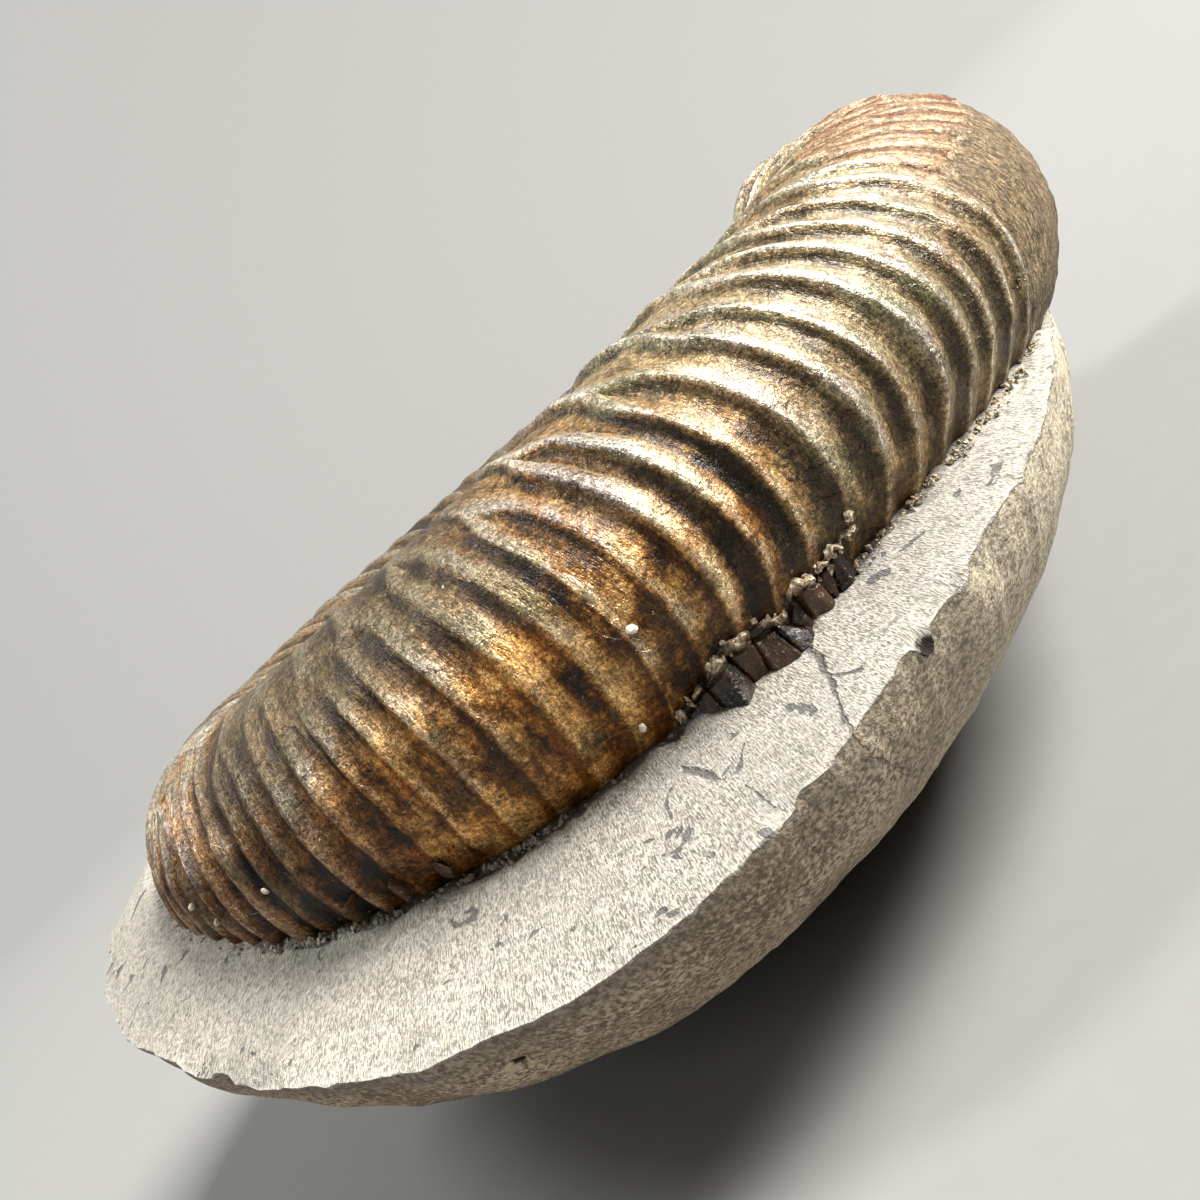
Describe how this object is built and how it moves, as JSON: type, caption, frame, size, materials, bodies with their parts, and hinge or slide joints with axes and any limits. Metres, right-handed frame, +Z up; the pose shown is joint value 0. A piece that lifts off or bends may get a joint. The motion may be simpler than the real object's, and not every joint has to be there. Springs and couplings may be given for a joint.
{
  "type": "ammonite fossil",
  "caption": "Ribbed spiral ammonite shell half freed from a rounded grey stone nodule, which lies on a small flat under it; a display specimen.",
  "frame": {"origin": "middle of the small flat that the nodule rests on, which is also where the shell's coiling axis meets it", "axes": "+Z up along the shell's coiling axis, -Y to the front where the shell's outer edge is seen best, +X to the right, towards the shell's wide open end"},
  "size_m": [0.0872, 0.0887, 0.0342],
  "materials": {
    "fossil_shell": "semi-gloss bronze-brown fossil shell with pearly grey rib crests",
    "matrix_stone": "matt pale grey dressed limestone, brown-grey natural skin underneath"
  },
  "bodies": {
    "root": {"ammonite": "fossil_shell", "nodule": "matrix_stone"}
  },
  "joints": []
}
